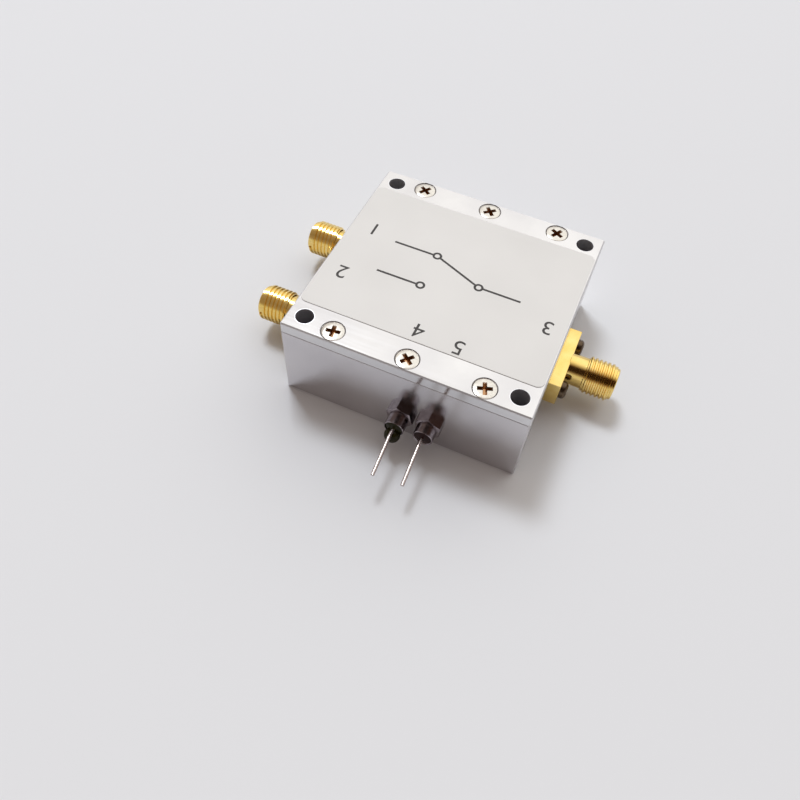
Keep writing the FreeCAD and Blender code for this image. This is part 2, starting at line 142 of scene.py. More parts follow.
def milled_aluminium(name, colours, roughness):
    """The cutter's marks run level along each wall, and from side to side on the top."""
    sharpest, dullest = roughness
    material, tree, shader = start_material(name, colours[0], 1.0, sharpest)
    place = add_node(tree, "ShaderNodeTexCoord", {}, {})
    at_place = {"Vector": (place, "Object")}
    along = 1 / (tool_mark_run * MM)
    across = 1 / (tool_mark * MM)
    run_x = add_node(tree, "ShaderNodeMapping", {"Scale": (along, across, across)}, at_place)
    run_y = add_node(tree, "ShaderNodeMapping", {"Scale": (across, along, across)}, at_place)
    mark_noise = {"Scale": 1.0, "Detail": 3.0}
    marks_x = add_node(tree, "ShaderNodeTexNoise", mark_noise, {"Vector": (run_x, "Vector")})
    marks_y = add_node(tree, "ShaderNodeTexNoise", mark_noise, {"Vector": (run_y, "Vector")})
    surface = add_node(tree, "ShaderNodeNewGeometry", {}, {})
    facing = add_node(tree, "ShaderNodeSeparateXYZ", {}, {"Vector": (surface, "Normal")})
    end_wall = add_node(tree, "ShaderNodeMath", {"operation": "ABSOLUTE"}, {"Value": (facing, "X")})
    marks = add_node(tree, "ShaderNodeMix", {"data_type": "FLOAT"},
                     {"Factor": (end_wall, "Value"), "A": (marks_x, "Fac"), "B": (marks_y, "Fac")})
    cloud = add_node(tree, "ShaderNodeTexNoise", {"Scale": 1 / (handling_cloud * MM), "Detail": 4.0},
                     at_place)
    tone = two_toned(tree, cloud, handling_span, colours)
    blur = add_node(tree, "ShaderNodeMapRange", {**noise_span, "To Min": sharpest, "To Max": dullest},
                    {"Value": (marks, "Result")})
    # A face that looks along an axis has slopes that add up to one, and a broken edge has more
    slopes = add_node(tree, "ShaderNodeVectorMath", {"operation": "ABSOLUTE"},
                      {"Vector": (surface, "True Normal")})
    slope_sum = add_node(tree, "ShaderNodeVectorMath", {"operation": "DOT_PRODUCT"},
                         {"Vector": (slopes, "Vector")})
    slope_sum.inputs[1].default_value = (1, 1, 1)
    edge_share = add_node(tree, "ShaderNodeMapRange",
                          {"From Min": flat_slope_sum, "From Max": broken_slope_sum},
                          {"Value": (slope_sum, "Value")})
    edge_blur = add_node(tree, "ShaderNodeMix", {"data_type": "FLOAT", "B": broken_edge_roughness},
                         {"Factor": (edge_share, "Result"), "A": (blur, "Result")})
    # The four holes fall on one when the place is folded into one quarter of the case
    quarter = add_node(tree, "ShaderNodeVectorMath", {"operation": "ABSOLUTE"}, at_place)
    level = add_node(tree, "ShaderNodeMapping", {"Scale": (1, 1, 0)}, {"Vector": (quarter, "Vector")})
    from_hole = add_node(tree, "ShaderNodeVectorMath", {"operation": "DISTANCE"},
                         {"Vector": (level, "Vector")})
    from_hole.inputs[1].default_value = (mounting_hole_centre * MM, mounting_hole_centre * MM, 0)
    hole_share = add_node(tree, "ShaderNodeMapRange",
                          {"From Min": (mounting_hole_radius + drilled_gone) * MM,
                           "From Max": (mounting_hole_radius + drilled_full) * MM},
                          {"Value": (from_hole, "Value")})
    hole_blur = add_node(tree, "ShaderNodeMix", {"data_type": "FLOAT", "B": drilled_roughness},
                         {"Factor": (hole_share, "Result"), "A": (edge_blur, "Result")})
    relief = add_node(tree, "ShaderNodeBump", {"Strength": 0.2, "Distance": tool_mark_depth * MM},
                      {"Height": (marks, "Result")})
    link_inputs(tree, shader, {"Base Color": (tone, "Result"), "Roughness": (hole_blur, "Result"),
                               "Normal": (relief, "Normal")})
    return material


block_metal = milled_aluminium("milled_aluminium_housing", ("#D2CFD1", "#C8C5C8"), roughness=(0.17, 0.24))
lid_metal = milled_aluminium("milled_aluminium_lid", ("#DAD9DA", "#D0CFD1"), roughness=(0.08, 0.14))
dress("housing", block_metal)
dress("lid", lid_metal)


# Circuit board
# A thin glass-epoxy board under green solder mask, screwed to the pocket's floor. Its lines are gold-plated
# copper, and the chips, their metal ends and the solder sit on it. The closed lid hides all of it.
def mottled(name, colours, grain, relief_depth, metallic, roughness):
    """A fine grain of a size in millimetres, which varies the colour, the dullness and the height."""
    sharpest, dullest = roughness
    material, tree, shader = start_material(name, colours[0], metallic, sharpest)
    place = add_node(tree, "ShaderNodeTexCoord", {}, {})
    noise = add_node(tree, "ShaderNodeTexNoise", {"Scale": 1 / (grain * MM), "Detail": 3.0},
                     {"Vector": (place, "Object")})
    tone = two_toned(tree, noise, noise_span, colours)
    blur = add_node(tree, "ShaderNodeMapRange", {**noise_span, "To Min": sharpest, "To Max": dullest},
                    {"Value": (noise, "Fac")})
    relief = add_node(tree, "ShaderNodeBump", {"Strength": 0.3, "Distance": relief_depth * MM},
                      {"Height": (noise, "Fac")})
    link_inputs(tree, shader, {"Base Color": (tone, "Result"), "Roughness": (blur, "Result"),
                               "Normal": (relief, "Normal")})
    return material


# Solder mask, screen printed and cured: a glossy green skin in which the glass weave shows as a soft grain.
solder_mask = mottled("cured_solder_mask", ("#1F5A33", "#276B3E"),
                      grain=0.5, relief_depth=0.01, metallic=0.0, roughness=(0.3, 0.4))
# Gold plated on etched copper: a soft yellow metal, slightly grainy.
line_gold = mottled("gold_plated_copper", ("#E6C882", "#DDBB70"),
                    grain=0.2, relief_depth=0.004, metallic=1.0, roughness=(0.25, 0.4))
# Moulded epoxy: nearly black, dull, with the fine grit of its mould.
chip_epoxy = mottled("moulded_black_epoxy", ("#232325", "#2B2B2E"),
                     grain=0.08, relief_depth=0.005, metallic=0.0, roughness=(0.5, 0.6))
# Fired ceramic: a dull tan body with a chalky grain.
chip_ceramic = mottled("fired_tan_ceramic", ("#B08E62", "#A6845A"),
                       grain=0.06, relief_depth=0.004, metallic=0.0, roughness=(0.45, 0.55))
# Glass glaze over a fired resistor: nearly black and shiny.
resistor_glaze = mottled("fired_black_glaze", ("#1B1B1E", "#25252A"),
                         grain=0.1, relief_depth=0.004, metallic=0.0, roughness=(0.2, 0.3))
# Tin plating: a pale grey metal that has gone a little matt.
tin_plating = mottled("matt_tin_plating", ("#C9C8C6", "#B9B8B6"),
                      grain=0.1, relief_depth=0.004, metallic=1.0, roughness=(0.25, 0.4))
# Solder, melted and set: bright where it flowed and frosted where it cooled last.
set_solder = mottled("set_tin_solder", ("#C4C6CA", "#B0B2B6"),
                     grain=0.3, relief_depth=0.01, metallic=1.0, roughness=(0.2, 0.35))
board_finishes = {"circuit_board": solder_mask, "signal_lines": line_gold, "supply_lines": line_gold,
                  "switch_chip": chip_epoxy, "logic_chip": chip_epoxy, "logic_chip_legs": tin_plating,
                  "coupling_capacitors": chip_ceramic, "bypass_capacitors": chip_ceramic,
                  "bias_resistors": resistor_glaze, "chip_ends": tin_plating, "solder_joints": set_solder}
for node, material in board_finishes.items():
    dress(node, material)

# Coaxial connectors
# Each is turned and milled from one piece of brass and gold plated: a long flange, a plain neck, a barrel
# with a thread of 36 turns to the inch, and a plain rim round the mouth. Two screws hold it to the case.
axis_height = 5.3
flange_back = 20.0
flange_face = 22.0
flange_half_length = 6.35
flange_half_height = 2.4
flange_edge = 0.12
neck_start = 21.9
neck_radius = 2.6
barrel_start = 24.8
thread_start = 25.05
thread_pitch = 0.7056
thread_root_radius = 2.86
thread_crest_radius = 3.1
thread_sunk = 0.05
thread_base_width = 0.58
thread_crest_width = 0.26
thread_turns = 6
thread_steps = 48
step_edge = 0.1
rim_start = 29.4
rim_radius = 2.65
rim_edge = 0.12
mouth_face = 29.88
mouth_radius = 2.3
mouth_edge = 0.06
contact_face = 27.98
bore_radius = 2.05
barrel_sides = 64
screw_spacing = 9.6
screw_hole_radius = 0.9
cutter_reach = 1.0
same_point = 0.001


def choose(piece):
    """Only this piece is selected and active."""
    bpy.ops.object.select_all(action="DESELECT")
    piece.select_set(True)
    bpy.context.view_layer.objects.active = piece


def apply_place(piece):
    """The piece's place goes into its mesh, and its object sits at the origin."""
    choose(piece)
    bpy.ops.object.transform_apply(location=True, rotation=True, scale=True)


def edit(piece, kind, wanted):
    """Edit mode, with the points, edges or faces selected whose middle in millimetres is wanted."""
    choose(piece)
    bpy.ops.object.mode_set(mode="EDIT")
    bpy.ops.mesh.select_mode(type=kind)
    bpy.ops.mesh.select_all(action="DESELECT")
    bpy.ops.object.mode_set(mode="OBJECT")
    points = piece.data.vertices
    if kind == "VERT":
        for vertex in points:
            vertex.select = bool(wanted(vertex.co / MM))
    elif kind == "EDGE":
        for side in piece.data.edges:
            first, second = side.vertices
            side.select = bool(wanted((points[first].co + points[second].co) / 2 / MM))
    else:
        for face in piece.data.polygons:
            face.select = bool(wanted(face.center / MM))
    bpy.ops.object.mode_set(mode="EDIT")


def close_up(piece):
    """Doubles are merged and faces turned outward."""
    edit(piece, "VERT", lambda spot: True)
    bpy.ops.mesh.remove_doubles(threshold=same_point * MM)
    bpy.ops.mesh.normals_make_consistent(inside=False)
    bpy.ops.object.mode_set(mode="OBJECT")


def turned(name, outline, sides, is_ring):
    """A piece turned about the X axis. A ring or disc is pushed from one (distance, radius) to the next."""
    distance, radius = outline[0]
    fill = "NOTHING" if is_ring else "NGON"
    bpy.ops.mesh.primitive_circle_add(vertices=sides, radius=radius * MM, fill_type=fill,
                                      location=(distance * MM, 0, 0), rotation=(0, math.pi / 2, 0))
    piece = bpy.context.object
    piece.name = name
    apply_place(piece)
    edit(piece, "VERT", lambda spot: True)
    for next_distance, next_radius in outline[1:]:
        push = (next_distance - distance) * MM
        growth = next_radius / radius
        bpy.ops.mesh.extrude_region_move(TRANSFORM_OT_translate={"value": (push, 0, 0)})
        bpy.ops.transform.resize(value=(1, growth, growth), center_override=(next_distance * MM, 0, 0))
        distance, radius = next_distance, next_radius
    bpy.ops.object.mode_set(mode="OBJECT")
    close_up(piece)
    return piece


def combine(piece, other, operation):
    """One closed piece is joined to, cut by or cut down to another, which is then removed."""
    modifier = piece.modifiers.new("combine", "BOOLEAN")
    modifier.operation = operation
    modifier.solver = "EXACT"
    modifier.object = other
    choose(piece)
    bpy.ops.object.modifier_apply(modifier=modifier.name)
    bpy.data.objects.remove(other)
    close_up(piece)


def gathered(pieces):
    """Several pieces made one object, each still a closed shell of its own."""
    choose(pieces[0])
    for piece in pieces:
        piece.select_set(True)
    bpy.ops.object.join()
    return pieces[0]


def copied(piece, name, place, turn):
    """A copy with its own mesh, turned by a rotation and moved to a place in millimetres."""
    copy = piece.copy()
    copy.data = piece.data.copy()
    bpy.context.collection.objects.link(copy)
    copy.name = name
    copy.rotation_euler = turn
    copy.location = Vector(place) * MM
    apply_place(copy)
    return copy


def finished(piece, material, corner_degrees=30):
    """The material goes on, and the faces are shaded smooth across all but the sharper corners."""
    piece.data.materials.clear()
    piece.data.materials.append(material)
    choose(piece)
    bpy.ops.object.shade_smooth_by_angle(angle=math.radians(corner_degrees))


def hand_over(piece, node):
    """The piece stands for a CAD node, which is hidden, and hangs from the root body."""
    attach(piece, "root")
    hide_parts(node)


def connector_flange():
    """A bar with its outer edges broken, then bored for the insulator and the two screws."""
    middle = (flange_face + flange_back) / 2
    bpy.ops.mesh.primitive_cube_add(size=1, location=(middle * MM, 0, 0))
    piece = bpy.context.object
    piece.scale = Vector((flange_face - flange_back, 2 * flange_half_length, 2 * flange_half_height)) * MM
    apply_place(piece)
    edit(piece, "EDGE", lambda spot: spot.x > flange_back + flange_edge)
    bpy.ops.mesh.bevel(offset=flange_edge * MM, segments=2, affect="EDGES")
    bpy.ops.object.mode_set(mode="OBJECT")
    cuts = {0: bore_radius, -screw_spacing / 2: screw_hole_radius, screw_spacing / 2: screw_hole_radius}
    for y, radius in cuts.items():
        outline = [(flange_back - cutter_reach, radius), (flange_face + cutter_reach, radius)]
        hole = turned("hole", outline, barrel_sides, is_ring=False)
        hole.location.y = y * MM
        apply_place(hole)
        combine(piece, hole, "DIFFERENCE")
    return piece


def connector_thread():
    """A ridge wound round the barrel: a square is narrowed at its top, and a modifier winds its outline."""
    sunk_root = thread_root_radius - thread_sunk
    middle = (sunk_root + thread_crest_radius) / 2
    bpy.ops.mesh.primitive_plane_add(size=1, location=(thread_start * MM, middle * MM, 0))
    piece = bpy.context.object
    piece.scale = (thread_base_width * MM, (thread_crest_radius - sunk_root) * MM, 1)
    apply_place(piece)
    edit(piece, "VERT", lambda spot: spot.y > middle)
    bpy.ops.transform.resize(value=(thread_crest_width / thread_base_width, 1, 1),
                             center_override=(thread_start * MM, middle * MM, 0))
    bpy.ops.mesh.select_all(action="SELECT")
    bpy.ops.mesh.delete(type="ONLY_FACE")
    bpy.ops.object.mode_set(mode="OBJECT")
    winding = piece.modifiers.new("winding", "SCREW")
    winding.axis = "X"
    winding.angle = 2 * math.pi
    winding.screw_offset = thread_pitch * MM
    winding.iterations = thread_turns
    winding.steps = thread_steps
    winding.render_steps = thread_steps
    bpy.ops.object.modifier_apply(modifier=winding.name)
    edit(piece, "VERT", lambda spot: True)
    bpy.ops.mesh.fill_holes(sides=0)
    bpy.ops.object.mode_set(mode="OBJECT")
    close_up(piece)
    return piece


def connector_barrel():
    """The neck, the barrel and the rim, with the mouth and the insulator's bore inside them."""
    outline = [(neck_start, bore_radius), (contact_face, bore_radius), (contact_face, mouth_radius),
               (mouth_face - mouth_edge, mouth_radius), (mouth_face, mouth_radius + mouth_edge),
               (mouth_face, rim_radius - rim_edge), (mouth_face - rim_edge, rim_radius),
               (rim_start + step_edge, rim_radius), (rim_start, thread_root_radius),
               (barrel_start, thread_root_radius), (barrel_start - step_edge, neck_radius),
               (neck_start, neck_radius), (neck_start, bore_radius)]
    return turned("barrel", outline, barrel_sides, is_ring=True)


# The lathe leaves rings 0.1 mm apart, which hold even for a few millimetres round the piece.
lathe_ring = 0.1
lathe_ring_run = 4.0


def lathe_rings(tree, place):
    """Noise drawn out into fine rings about the X axis."""
    ring_scale = 1 / (lathe_ring * MM)
    run_scale = 1 / (lathe_ring_run * MM)
    lathe = add_node(tree, "ShaderNodeMapping", {"Scale": (ring_scale, run_scale, run_scale)},
                     {"Vector": (place, "Object")})
    return add_node(tree, "ShaderNodeTexNoise", {"Scale": 1.0, "Detail": 2.0},
                    {"Vector": (lathe, "Vector")})


# Gold plated on turned brass: a bright yellow mirror. The lathe's rings smear its highlights lengthwise,
# and the plating is a little redder in places.
plating_cloud = 2.5
plated_ring_depth = 0.002


def gold_on_turned_brass(name, colours, roughness):
    sharpest, dullest = roughness
    material, tree, shader = start_material(name, colours[0], 1.0, sharpest)
    place = add_node(tree, "ShaderNodeTexCoord", {}, {})
    rings = lathe_rings(tree, place)
    cloud = add_node(tree, "ShaderNodeTexNoise", {"Scale": 1 / (plating_cloud * MM), "Detail": 3.0},
                     {"Vector": (place, "Object")})
    tone = two_toned(tree, cloud, noise_span, colours)
    blur = add_node(tree, "ShaderNodeMapRange", {**noise_span, "To Min": sharpest, "To Max": dullest},
                    {"Value": (rings, "Fac")})
    relief = add_node(tree, "ShaderNodeBump", {"Strength": 0.2, "Distance": plated_ring_depth * MM},
                      {"Height": (rings, "Fac")})
    link_inputs(tree, shader, {"Base Color": (tone, "Result"), "Roughness": (blur, "Result"),
                               "Normal": (relief, "Normal")})
    return material


# Fluoroplastic, turned from rod: waxy white, slightly see-through, with fine rings from the lathe.
fluoroplastic_colours = ("#EDECE8", "#E2E1DC")
fluoroplastic_roughness = 0.45
fluoroplastic_glow = 0.2
fluoroplastic_glow_depth = 0.5
fluoroplastic_ior = 1.35
fluoroplastic_ring_depth = 0.004


def turned_fluoroplastic():
    material, tree, shader = start_material("turned_fluoroplastic", fluoroplastic_colours[0], 0.0,
                                            fluoroplastic_roughness)
    shader.inputs["Subsurface Weight"].default_value = fluoroplastic_glow
    shader.inputs["Subsurface Radius"].default_value = [fluoroplastic_glow_depth * MM] * 3
    shader.inputs["IOR"].default_value = fluoroplastic_ior
    place = add_node(tree, "ShaderNodeTexCoord", {}, {})
    rings = lathe_rings(tree, place)
    tone = two_toned(tree, rings, noise_span, fluoroplastic_colours)
    relief = add_node(tree, "ShaderNodeBump", {"Strength": 0.3, "Distance": fluoroplastic_ring_depth * MM},
                      {"Height": (rings, "Fac")})
    link_inputs(tree, shader, {"Base Color": (tone, "Result"), "Normal": (relief, "Normal")})
    return material


body_gold = gold_on_turned_brass("gold_plated_brass", ("#F3D78C", "#E9C771"), roughness=(0.1, 0.18))
contact_gold = gold_on_turned_brass("gold_plated_contacts", ("#F0D284", "#E4C069"), roughness=(0.14, 0.22))
fluoroplastic = turned_fluoroplastic()
# The side wall that each stands on, right or left, and how far back on it
connector_places = {"common": (1, 0.0), "port_1": (-1, 9.0), "port_2": (-1, -9.0)}


def wall_place(side, y):
    """Where a piece made on the right wall stands for one of the connectors: its place and its turn."""
    return (0, y, axis_height), (0, 0, 0 if side > 0 else math.pi)


first_connector = gathered([connector_barrel(), connector_flange(), connector_thread()])
finished(first_connector, body_gold, corner_degrees=35)
for name, (side, y) in connector_places.items():
    piece = copied(first_connector, name + "_connector_threaded", *wall_place(side, y))
    hand_over(piece, name + "_connector")
    dress(name + "_insulator", fluoroplastic)
    dress(name + "_contact", contact_gold)
bpy.data.objects.remove(first_connector)

# Flange screws
# Small steel screws with low round heads and cross recesses, two through each flange. They are pressed and
# rolled from wire, blackened and oiled.
pan_head_radius = 1.45
pan_head_height = 1.1
pan_side_share = 0.45
pan_top_share = 0.45
pan_rounding_steps = 4
pan_rounding_degrees = 80
pan_shank_radius = 0.8
pan_screw_length = 5.2
pan_screw_sides = 40
pan_recess_span = 1.8
pan_recess_width = 0.5
pan_recess_depth = 0.65
recess_clearance = 0.2
recess_taper = 0.5
screw_point_length = 0.3
screw_point_share = 0.6
# How far the front and the back screw of each flange are turned, in radians
pan_screw_turns = {"common": (0.5, 1.1), "port_1": (0.2, 0.9), "port_2": (1.3, 0.7)}


def cross_recess(span, width, depth):
    """What a cross driver presses into a head whose top is at x = 0: two crossed blades, narrower below."""
    blades = []
    for turn in (0, math.pi / 2):
        bpy.ops.mesh.primitive_cube_add(size=1, location=((recess_clearance - depth) / 2 * MM, 0, 0))
        blade = bpy.context.object
        blade.scale = Vector((recess_clearance + depth, span, width)) * MM
        apply_place(blade)
        edit(blade, "FACE", lambda spot: spot.x < -depth + same_point)
        bpy.ops.transform.resize(value=(1, recess_taper, recess_taper), center_override=(-depth * MM, 0, 0))
        bpy.ops.object.mode_set(mode="OBJECT")
        blade.rotation_euler.x = turn
        apply_place(blade)
        blades.append(blade)
    combine(blades[0], blades[1], "UNION")
    return blades[0]


def pan_head_screw():
    """The head's top is rounded in short steps from its straight side to its nearly flat top."""
    outline = [(-pan_screw_length, pan_shank_radius * screw_point_share),
               (-pan_screw_length + screw_point_length, pan_shank_radius),
               (0, pan_shank_radius), (0, pan_head_radius)]
    side_height = pan_head_height * pan_side_share
    for step in range(pan_rounding_steps + 1):
        angle = math.radians(pan_rounding_degrees * step / pan_rounding_steps)
        outline.append((side_height + (pan_head_height - side_height) * math.sin(angle),
                        pan_head_radius * (pan_top_share + (1 - pan_top_share) * math.cos(angle))))
    piece = turned("pan_head_screw", outline, pan_screw_sides, is_ring=False)
    cutter = cross_recess(pan_recess_span, pan_recess_width, pan_recess_depth)
    cutter.location.x = pan_head_height * MM
    apply_place(cutter)
    combine(piece, cutter, "DIFFERENCE")
    return piece


# Blackened steel: dark and oily, with brighter metal showing through in fine specks.
black_steel = mottled("blackened_steel", ("#55483A", "#665645"),
                      grain=0.25, relief_depth=0.004, metallic=1.0, roughness=(0.22, 0.36))
first_screw = pan_head_screw()
finished(first_screw, black_steel)
for name, (side, y) in connector_places.items():
    pair = [copied(first_screw, "screw", (flange_face, end * screw_spacing / 2, 0), (turn, 0, 0))
            for end, turn in zip((-1, 1), pan_screw_turns[name])]
    both = gathered(pair)
    piece = copied(both, name + "_flange_screws_crossed", *wall_place(side, y))
    bpy.data.objects.remove(both)
    hand_over(piece, name + "_flange_screws")
bpy.data.objects.remove(first_screw)

# Feedthroughs
# Each is a turned bushing with a hexagon, screwed into the front wall, that holds a tube of ceramic. Dark
# resin seals its mouth, and a bare tinned wire comes out of the resin.
front_wall = 20.0
hexagon_across = 4.0
hexagon_face = 21.3
hexagon_edge = 0.15
hexagon_overlap = 0.1
corner_to_flat = 30
collar_radius = 1.65
collar_bore_radius = 1.4
collar_bore_depth = 1.3
collar_edge = 0.08
shank_end = 15.8
shank_radius = 1.5
tube_radius = 1.0
bushing_sides = 48
# Each one's place along the wall, how far its collar stands out, and its turn in degrees
feedthroughs = {"supply": (0.7, 23.4, 15), "control": (5.4, 23.1, 0)}


def bushing(collar_face, turn):
    """The bushing along +X, with its hexagon as a second shell round it."""
    bore_bottom = collar_face - collar_bore_depth
    outline = [(shank_end, tube_radius), (bore_bottom, tube_radius), (bore_bottom, collar_bore_radius),
               (collar_face - collar_edge, collar_bore_radius),
               (collar_face, collar_bore_radius + collar_edge),
               (collar_face, collar_radius - collar_edge), (collar_face - collar_edge, collar_radius),
               (front_wall, collar_radius), (front_wall, shank_radius), (shank_end, shank_radius),
               (shank_end, tube_radius)]
    sleeve = turned("sleeve", outline, bushing_sides, is_ring=True)
    corner_radius = hexagon_across / 2 / math.cos(math.pi / 6)
    middle = (front_wall + hexagon_face) / 2
    bpy.ops.mesh.primitive_cylinder_add(vertices=6, radius=corner_radius * MM,
                                        depth=(hexagon_face - front_wall) * MM,
                                        location=(middle * MM, 0, 0), rotation=(0, math.pi / 2, 0))
    hexagon = bpy.context.object
    apply_place(hexagon)
    # The lathe turns the outer corners down to a shallow cone
    flat_radius = hexagon_across / 2 - hexagon_edge / 2
    cone = [(front_wall - cutter_reach, corner_radius), (hexagon_face - hexagon_edge, corner_radius),
            (hexagon_face, flat_radius), (hexagon_face + cutter_reach, flat_radius / 2)]
    combine(hexagon, turned("crown", cone, bushing_sides, is_ring=False), "INTERSECT")
    inner_radius = collar_radius - hexagon_overlap
    hole = [(front_wall - cutter_reach, inner_radius), (hexagon_face + cutter_reach, inner_radius)]
    combine(hexagon, turned("core", hole, bushing_sides, is_ring=False), "DIFFERENCE")
    # A cylinder of six sides stands on a corner and the CAD hexagon on a flat
    hexagon.rotation_euler.x = math.radians(corner_to_flat + turn)
    apply_place(hexagon)
    return gathered([sleeve, hexagon])


# Tinned brass, dulled by handling and flux: a grey mirror that is darker and blurrier in patches.
bushing_tin = mottled("dulled_tin_on_brass", ("#A1989B", "#857B7F"),
                      grain=0.6, relief_depth=0.006, metallic=1.0, roughness=(0.12, 0.24))
# Tinned copper wire, drawn: bright, nearly white, slightly rippled along its length.
wire_tin = mottled("drawn_tinned_copper", ("#C9BDB9", "#B5A9A5"),
                   grain=0.3, relief_depth=0.004, metallic=1.0, roughness=(0.2, 0.32))
# Resin, poured and set: nearly black and smooth, olive at the supply and reddish at the control. A skin of
# dust takes most of its shine.
supply_resin = mottled("set_olive_black_resin", ("#1D1B08", "#29260E"),
                       grain=0.8, relief_depth=0.02, metallic=0.0, roughness=(0.12, 0.2))
control_resin = mottled("set_red_black_resin", ("#1F0B09", "#2B1310"),
                        grain=0.8, relief_depth=0.02, metallic=0.0, roughness=(0.16, 0.26))
dusty_shine = 0.12
filler_resins = {"supply": supply_resin, "control": control_resin}
for resin in filler_resins.values():
    resin.node_tree.nodes["Principled BSDF"].inputs["Specular IOR Level"].default_value = dusty_shine
# Fired ceramic, hidden in the bushing: brown and dull.
tube_ceramic = mottled("fired_brown_ceramic", ("#8C6A4C", "#7E5E43"),
                       grain=0.1, relief_depth=0.004, metallic=0.0, roughness=(0.4, 0.5))
for name, (x, collar_face, turn) in feedthroughs.items():
    along_x = bushing(collar_face, turn)
    piece = copied(along_x, name + "_bushing_turned", (x, 0, axis_height), (0, 0, -math.pi / 2))
    bpy.data.objects.remove(along_x)
    finished(piece, bushing_tin)
    hand_over(piece, name + "_bushing")
    dress(name + "_capacitor_tube", tube_ceramic)
    dress(name + "_filler", filler_resins[name])
    dress(name + "_wire", wire_tin)

# Lid screws
# Six steel screws with flat countersunk heads and cross recesses, pressed from wire and nickel plated. They
# lie just under the lid's face, each turned as it was when it came tight.
lid_top = 16.0
lid_screw_drop = 0.05
flat_head_radius = 1.78
flat_head_edge = 0.1
flat_head_rim = 0.12
flat_shank_radius = 1.0
flat_screw_length = 6.0
flat_screw_sides = 56
flat_recess_span = 2.5
flat_recess_width = 0.72
flat_recess_depth = 1.0
round_edge_share = 0.3
lid_screw_y = 17.9
lid_screw_spacing = 12.1
# Each one's step along its row, the row in front or behind, and its turn in degrees
lid_screw_turns = {(-1, -1): 10, (0, -1): 50, (1, -1): 20, (-1, 1): 55, (0, 1): 40, (1, 1): 60}


def flat_head_screw():
    """The cone of the head has a slope of 45 degrees, and its upper edge is slightly rounded."""
    cone_bottom = -flat_head_rim - (flat_head_radius - flat_shank_radius)
    edge_middle = flat_head_edge * round_edge_share
    outline = [(-flat_screw_length, flat_shank_radius * screw_point_share),
               (-flat_screw_length + screw_point_length, flat_shank_radius),
               (cone_bottom, flat_shank_radius),
               (-flat_head_rim, flat_head_radius), (-flat_head_edge, flat_head_radius),
               (-edge_middle, flat_head_radius - edge_middle), (0, flat_head_radius - flat_head_edge)]
    piece = turned("flat_head_screw", outline, flat_screw_sides, is_ring=False)
    combine(piece, cross_recess(flat_recess_span, flat_recess_width, flat_recess_depth), "DIFFERENCE")
    return piece


# Nickel plated on pressed steel: a warm bright metal with a soft mirror, darker in small patches. Below the
# face the recess is painted brown and made duller: the brown is painted reflection and shade for its warm
# glints.
nickel_colours = ("#DDD9D2", "#CBC7C0")
nickel_patch = 0.4
nickel_roughness = 0.16
# Painted reflection and shade: the brown that fills the recess of each lid screw below the face
painted_recess_glint_colour = "#A37C58"
recess_roughness = 0.4
painted_recess_full_height = 15.72
painted_recess_gone_height = 15.94


def nickel_with_painted_recess_shade():
    material, tree, shader = start_material("nickel_heads_painted_recess", nickel_colours[0], 1.0,
                                            nickel_roughness)
    place = add_node(tree, "ShaderNodeTexCoord", {}, {})
    noise = add_node(tree, "ShaderNodeTexNoise", {"Scale": 1 / (nickel_patch * MM), "Detail": 3.0},
                     {"Vector": (place, "Object")})
    metal = two_toned(tree, noise, noise_span, nickel_colours)
    # Below the heights given, the recess is painted brown as painted glints and shade, and its roughness
    # rises
    parts = add_node(tree, "ShaderNodeSeparateXYZ", {}, {"Vector": (place, "Object")})
    height = add_node(tree, "ShaderNodeMapRange",
                      {"From Min": painted_recess_full_height * MM, "From Max": painted_recess_gone_height * MM},
                      {"Value": (parts, "Z")})
    tone = add_node(tree, "ShaderNodeMix", {"data_type": "RGBA", "A": linear(painted_recess_glint_colour)},
                    {"Factor": (height, "Result"), "B": (metal, "Result")})
    blur = add_node(tree, "ShaderNodeMapRange", {"To Min": recess_roughness, "To Max": nickel_roughness},
                    {"Value": (height, "Result")})
    link_inputs(tree, shader, {"Base Color": (tone, "Result"), "Roughness": (blur, "Result")})
    return material


first_screw = flat_head_screw()
finished(first_screw, nickel_with_painted_recess_shade())
screws = []
for (step, side), degrees in lid_screw_turns.items():
    upright = copied(first_screw, "screw", (0, 0, 0), (0, -math.pi / 2, 0))
    place = (step * lid_screw_spacing, side * lid_screw_y, lid_top - lid_screw_drop)
    screws.append(copied(upright, "screw", place, (0, 0, math.radians(degrees))))
    bpy.data.objects.remove(upright)
bpy.data.objects.remove(first_screw)
piece = gathered(screws)
piece.name = "lid_screws_crossed"
hand_over(piece, "lid_screws")
# The board's screws are nickel plated too, under the lid, and have no painted brown in their recesses.
clean_nickel = mottled("nickel_plated_steel", nickel_colours,
                       grain=nickel_patch, relief_depth=0.004, metallic=1.0, roughness=(0.14, 0.24))
dress("board_screws", clean_nickel)

# Label
# A matt film stuck to the lid and printed in dark grey: plain numbers at the three connectors and the two
# wires, and the common drawing symbol of a changeover switch.
label_thickness = 0.1
ink_sink = 0.01
ink_thickness = 0.02
ink_bottom = lid_top + label_thickness - ink_sink
digit_size = 3.9
line_width = 0.38
number_places = {"1": (-15.8, 4.9), "2": (-16.3, -6.3), "3": (16.9, -3.0), "4": (-0.6, -12.2),
                 "5": (6.0, -12.6)}
contact_ring_radius = 0.8
contact_ring_sides = 40
pole = (4.5, 0.0)
throws = ((-4.0, 3.6), (-4.0, -3.6))
line_reach = 11.5


def thickened(piece):
    """A flat outline of ink made a thin closed plate."""
    edit(piece, "FACE", lambda spot: True)
    bpy.ops.mesh.extrude_region_move(TRANSFORM_OT_translate={"value": (0, 0, ink_thickness * MM)})
    bpy.ops.object.mode_set(mode="OBJECT")
    close_up(piece)
    return piece


